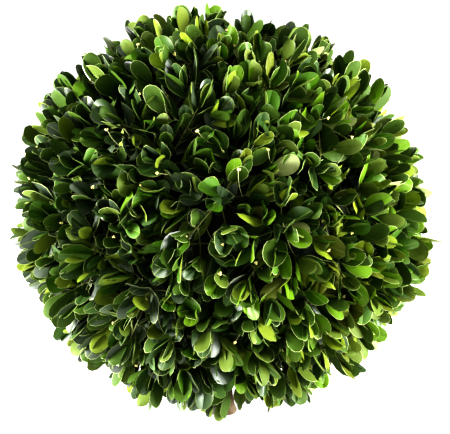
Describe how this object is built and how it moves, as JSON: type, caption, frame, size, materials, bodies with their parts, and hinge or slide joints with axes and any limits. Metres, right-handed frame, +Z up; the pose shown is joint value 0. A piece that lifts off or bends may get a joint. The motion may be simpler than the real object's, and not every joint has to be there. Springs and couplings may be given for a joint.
{
  "type": "box topiary ball",
  "caption": "Clipped evergreen box bush shaped as a ball, with a short stem and boughs inside, rooted in level ground.",
  "frame": {"origin": "middle of the flat cut under the stem, at ground level", "axes": "+Z up along the stem; the picture looks along +Y"},
  "size_m": [0.2981, 0.2969, 0.2867],
  "materials": {
    "bark": "matt grey-brown bark",
    "foliage": "glossy green leaves"
  },
  "bodies": {
    "root": {"stem": "bark", "bough_1": "bark", "bough_2": "bark", "bough_3": "bark", "bough_4": "bark", "bough_5": "bark", "foliage_top": "foliage", "foliage_side_1": "foliage", "foliage_side_2": "foliage", "foliage_side_3": "foliage", "foliage_side_4": "foliage", "foliage_side_5": "foliage"}
  },
  "joints": []
}
